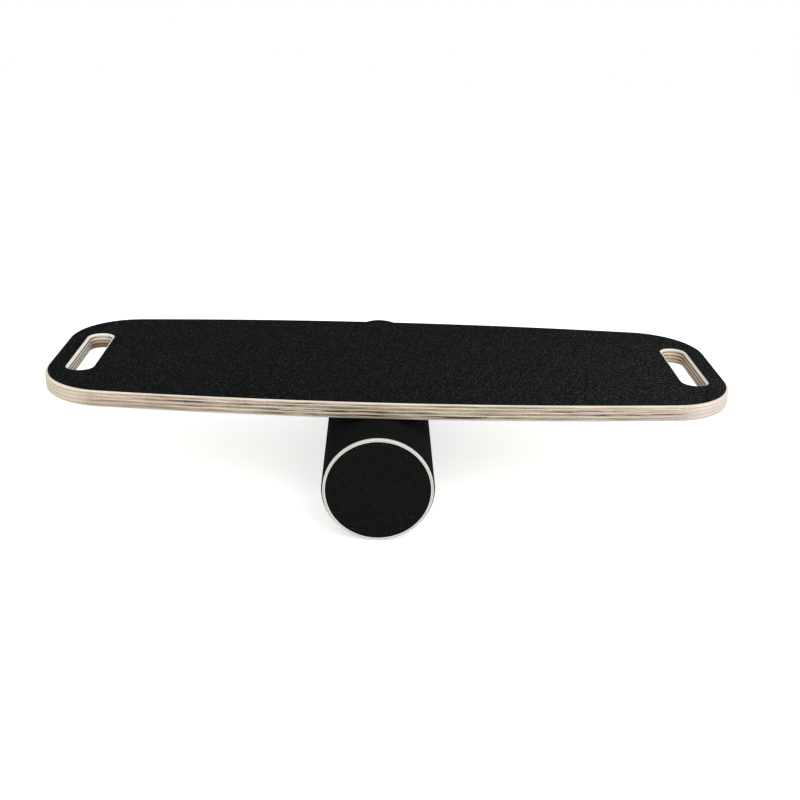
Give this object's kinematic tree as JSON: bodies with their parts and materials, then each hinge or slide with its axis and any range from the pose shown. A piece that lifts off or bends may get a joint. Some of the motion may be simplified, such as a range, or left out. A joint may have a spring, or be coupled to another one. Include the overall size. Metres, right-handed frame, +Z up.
{
  "type": "rola bola",
  "caption": "Plywood balance deck with a black grip sheet and hand slots, lying across a wrapped pipe roller.",
  "frame": {"origin": "on the floor, at the centre of the set's bounding box: below the middle of the deck's length and the middle of the roller's length", "axes": "+X along the deck, to the right in the picture; +Y along the roller, away from the picture's camera; +Z up"},
  "size_m": [0.728, 0.38, 0.1309],
  "materials": {
    "plywood": "sanded birch plywood, clear sealed",
    "hardwood": "planed beech, oiled",
    "deck_grip": "matt black, fine grit",
    "roller_grip": "matt black, fine grain",
    "pipe": "cream-white pipe plastic, saw cut and deburred",
    "screw_steel": "zinc plated"
  },
  "bodies": {
    "roller": {"roller_tube": "pipe", "roller_wrap": "roller_grip", "end_plug_front": "plywood", "end_plug_back": "plywood", "end_pad_front": "deck_grip", "end_pad_back": "deck_grip", "plug_screw_front_1": "screw_steel", "plug_screw_front_2": "screw_steel", "plug_screw_front_3": "screw_steel", "plug_screw_back_1": "screw_steel", "plug_screw_back_2": "screw_steel", "plug_screw_back_3": "screw_steel"},
    "deck": {"deck_board": "plywood", "deck_grip_sheet": "deck_grip", "stop_left": "hardwood", "stop_right": "hardwood", "stop_screw_left_1": "screw_steel", "stop_screw_left_2": "screw_steel", "stop_screw_left_3": "screw_steel", "stop_screw_right_1": "screw_steel", "stop_screw_right_2": "screw_steel", "stop_screw_right_3": "screw_steel"}
  },
  "joints": [
    {"name": "deck_rock", "type": "hinge", "parent": "roller", "child": "deck", "pos_m": [-0.01, 0, 0.0563], "axis": [0, 1, 0], "range_deg": [-18.2, 17.2]}
  ]
}
